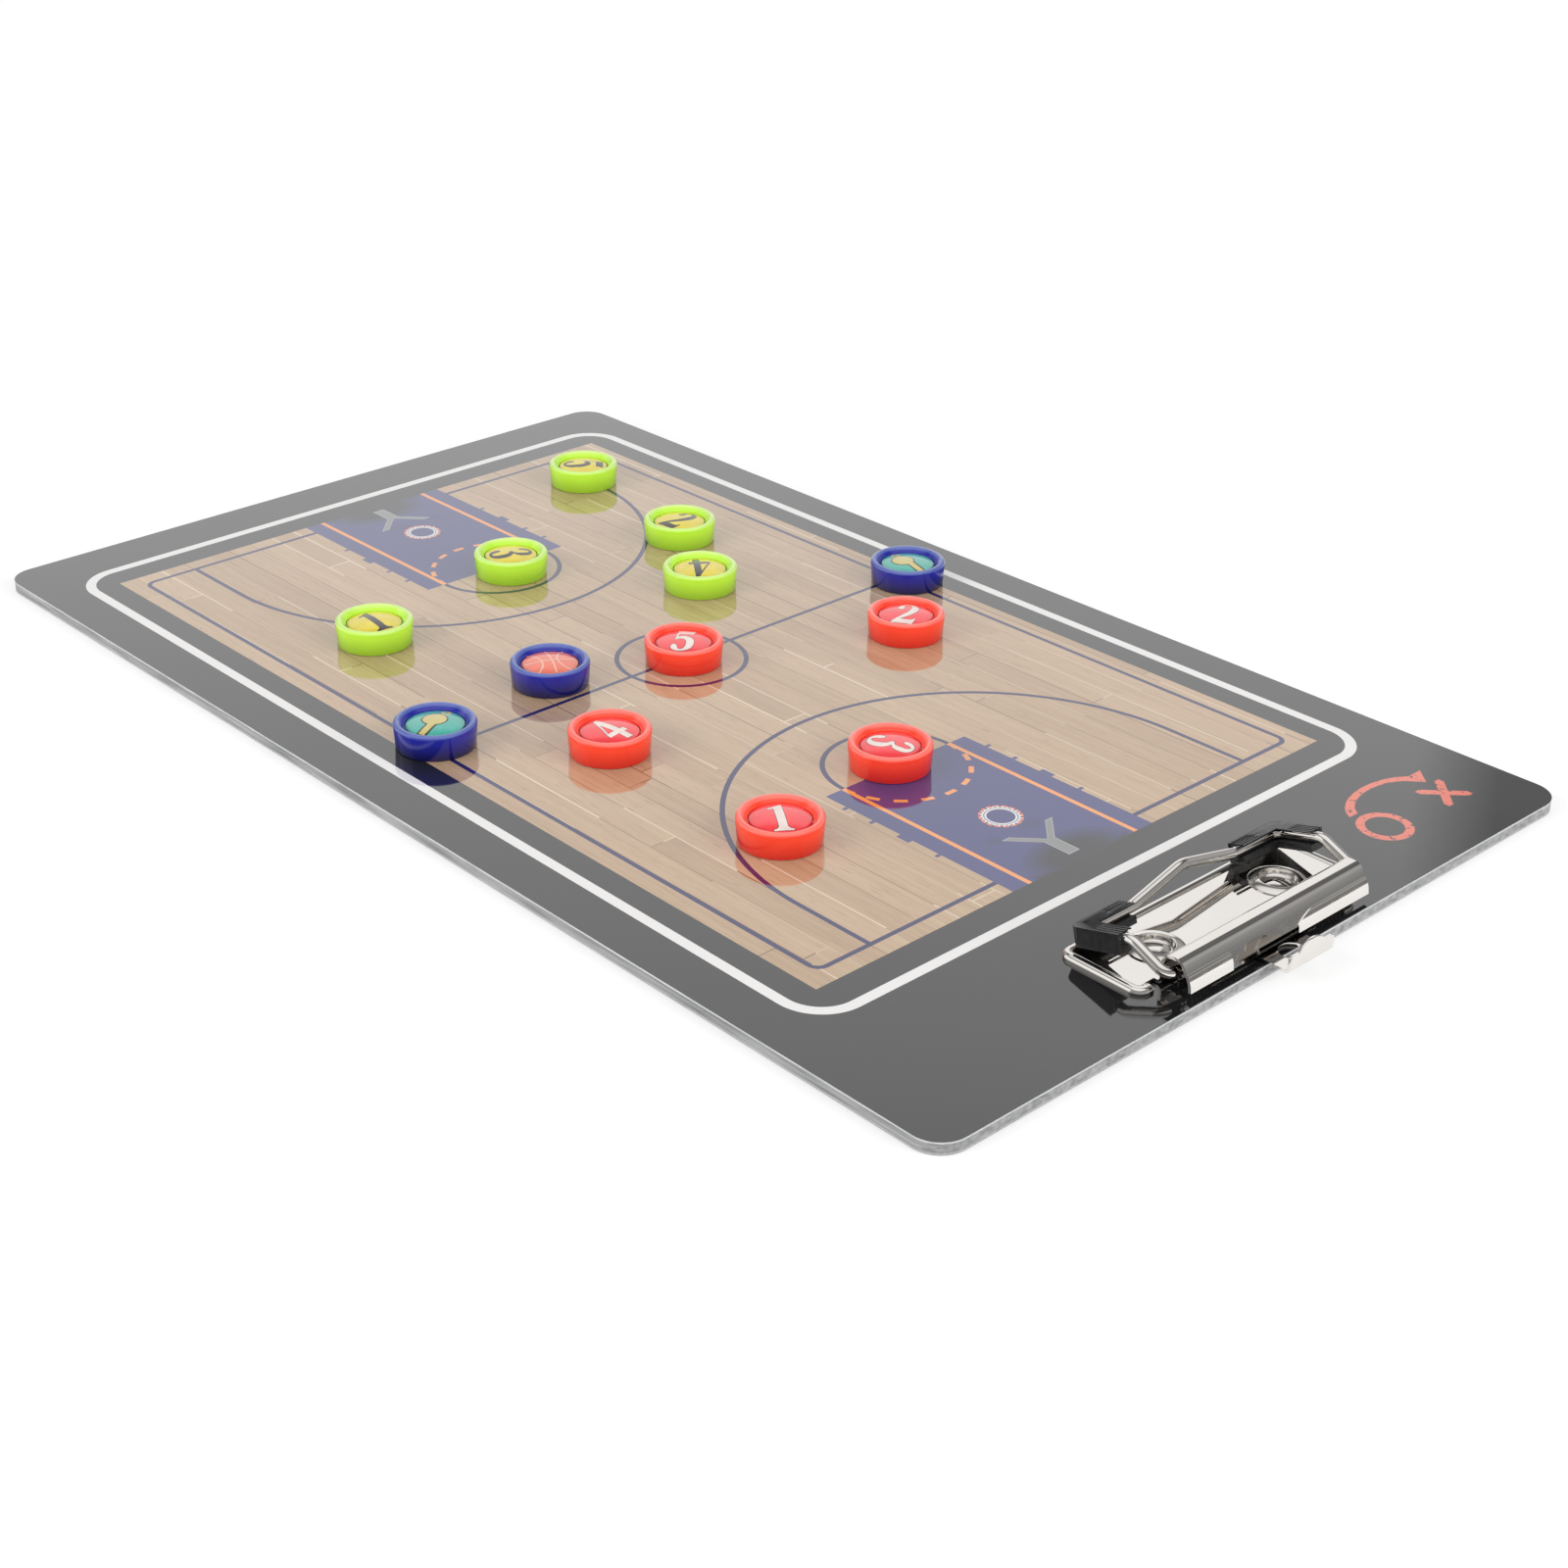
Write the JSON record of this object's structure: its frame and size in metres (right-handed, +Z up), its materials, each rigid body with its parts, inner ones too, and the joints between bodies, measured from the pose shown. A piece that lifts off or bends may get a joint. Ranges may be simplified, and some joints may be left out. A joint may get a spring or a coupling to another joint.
{
  "type": "magnetic tactics board",
  "caption": "flat magnetic coach's board with a printed court, a spring wire paper clip on one short edge and loose round magnetic marker discs",
  "frame": {"origin": "middle of the board's flat back face, on which it rests", "axes": "+Z up out of the printed face, +Y along the board to the edge with the clip, +X across"},
  "size_m": [0.205, 0.3555, 0.0126],
  "materials": {
    "printed_film": "printed gloss film",
    "steel_sheet": "thin bright sheet",
    "core_board": "sawn grey core",
    "back_sheet": "plain sheet",
    "back_film": "plain dark film",
    "nickel_plate": "bright nickel plating",
    "spring_steel": "drawn spring wire",
    "grip_rubber": "soft matt rubber",
    "lime_shell": "glossy moulding",
    "red_shell": "glossy moulding",
    "blue_shell": "glossy moulding",
    "yellow_label": "domed clear label",
    "rose_label": "domed clear label",
    "teal_label": "domed clear label",
    "orange_label": "domed clear label",
    "ferrite_magnet": "pressed ferrite"
  },
  "bodies": {
    "board": {"front_film": "printed_film", "steel_sheet": "steel_sheet", "core_sheet": "core_board", "back_sheet": "back_sheet", "back_film": "back_film", "clip_base": "nickel_plate", "clip_barrel": "nickel_plate", "clip_rivets": "nickel_plate", "rivet_washers": "steel_sheet", "return_springs": "spring_steel"},
    "bail": {"wire_bail": "nickel_plate", "left_grip": "grip_rubber", "right_grip": "grip_rubber"},
    "lime_marker_1": {"lime_marker_1_shell": "lime_shell", "lime_marker_1_label": "yellow_label", "lime_marker_1_magnet": "ferrite_magnet"},
    "lime_marker_2": {"lime_marker_2_shell": "lime_shell", "lime_marker_2_label": "yellow_label", "lime_marker_2_magnet": "ferrite_magnet"},
    "lime_marker_3": {"lime_marker_3_shell": "lime_shell", "lime_marker_3_label": "yellow_label", "lime_marker_3_magnet": "ferrite_magnet"},
    "lime_marker_4": {"lime_marker_4_shell": "lime_shell", "lime_marker_4_label": "yellow_label", "lime_marker_4_magnet": "ferrite_magnet"},
    "lime_marker_5": {"lime_marker_5_shell": "lime_shell", "lime_marker_5_label": "yellow_label", "lime_marker_5_magnet": "ferrite_magnet"},
    "red_marker_1": {"red_marker_1_shell": "red_shell", "red_marker_1_label": "rose_label", "red_marker_1_magnet": "ferrite_magnet"},
    "red_marker_2": {"red_marker_2_shell": "red_shell", "red_marker_2_label": "rose_label", "red_marker_2_magnet": "ferrite_magnet"},
    "red_marker_3": {"red_marker_3_shell": "red_shell", "red_marker_3_label": "rose_label", "red_marker_3_magnet": "ferrite_magnet"},
    "red_marker_4": {"red_marker_4_shell": "red_shell", "red_marker_4_label": "rose_label", "red_marker_4_magnet": "ferrite_magnet"},
    "red_marker_5": {"red_marker_5_shell": "red_shell", "red_marker_5_label": "rose_label", "red_marker_5_magnet": "ferrite_magnet"},
    "referee_marker_1": {"referee_marker_1_shell": "blue_shell", "referee_marker_1_label": "teal_label", "referee_marker_1_magnet": "ferrite_magnet"},
    "referee_marker_2": {"referee_marker_2_shell": "blue_shell", "referee_marker_2_label": "teal_label", "referee_marker_2_magnet": "ferrite_magnet"},
    "ball_marker": {"ball_marker_shell": "blue_shell", "ball_marker_label": "orange_label", "ball_marker_magnet": "ferrite_magnet"}
  },
  "joints": [
    {"name": "bail_hinge", "type": "hinge", "parent": "board", "child": "bail", "pos_m": [0, 0.1686, 0.0073], "axis": [-1, 0, 0], "range_deg": [0, 105], "stiffness_Nm_per_rad": 0.05, "springref_deg": -114.59, "deforming": ["return_springs"]},
    {"name": "lime_marker_1_lift", "type": "slide", "parent": "board", "child": "lime_marker_1", "axis": [0, 0, 1], "range_m": [0, 0.04]},
    {"name": "lime_marker_2_lift", "type": "slide", "parent": "board", "child": "lime_marker_2", "axis": [0, 0, 1], "range_m": [0, 0.04]},
    {"name": "lime_marker_3_lift", "type": "slide", "parent": "board", "child": "lime_marker_3", "axis": [0, 0, 1], "range_m": [0, 0.04]},
    {"name": "lime_marker_4_lift", "type": "slide", "parent": "board", "child": "lime_marker_4", "axis": [0, 0, 1], "range_m": [0, 0.04]},
    {"name": "lime_marker_5_lift", "type": "slide", "parent": "board", "child": "lime_marker_5", "axis": [0, 0, 1], "range_m": [0, 0.04]},
    {"name": "red_marker_1_lift", "type": "slide", "parent": "board", "child": "red_marker_1", "axis": [0, 0, 1], "range_m": [0, 0.04]},
    {"name": "red_marker_2_lift", "type": "slide", "parent": "board", "child": "red_marker_2", "axis": [0, 0, 1], "range_m": [0, 0.04]},
    {"name": "red_marker_3_lift", "type": "slide", "parent": "board", "child": "red_marker_3", "axis": [0, 0, 1], "range_m": [0, 0.04]},
    {"name": "red_marker_4_lift", "type": "slide", "parent": "board", "child": "red_marker_4", "axis": [0, 0, 1], "range_m": [0, 0.04]},
    {"name": "red_marker_5_lift", "type": "slide", "parent": "board", "child": "red_marker_5", "axis": [0, 0, 1], "range_m": [0, 0.04]},
    {"name": "referee_marker_1_lift", "type": "slide", "parent": "board", "child": "referee_marker_1", "axis": [0, 0, 1], "range_m": [0, 0.04]},
    {"name": "referee_marker_2_lift", "type": "slide", "parent": "board", "child": "referee_marker_2", "axis": [0, 0, 1], "range_m": [0, 0.04]},
    {"name": "ball_marker_lift", "type": "slide", "parent": "board", "child": "ball_marker", "axis": [0, 0, 1], "range_m": [0, 0.04]}
  ]
}
